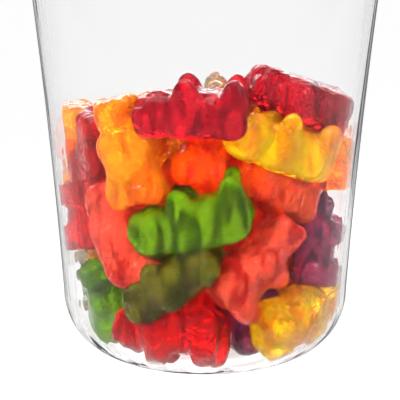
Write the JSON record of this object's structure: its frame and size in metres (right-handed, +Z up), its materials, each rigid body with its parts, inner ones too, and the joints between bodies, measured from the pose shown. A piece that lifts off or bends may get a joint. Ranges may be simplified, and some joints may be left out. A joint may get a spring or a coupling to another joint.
{
  "type": "clear cup of gummy bears",
  "caption": "Clear plastic cup with a rounded foot and a rolled rim, about two thirds full of assorted fruit gummy bears.",
  "frame": {"origin": "centre of the cup's foot, on the surface that it stands on", "axes": "+Z up along the cup's axis, -Y towards the side shown in the front view, +X to that view's right"},
  "size_m": [0.0726, 0.0726, 0.086],
  "materials": {
    "clear_plastic": "glossy clear moulded plastic",
    "fruit_gum": "soft translucent gum with a light oil gloss, in red, crimson, orange, amber, yellow, green, purple and clear"
  },
  "bodies": {
    "root": {"cup": "clear_plastic", "gummy_bears": "fruit_gum"}
  },
  "joints": []
}
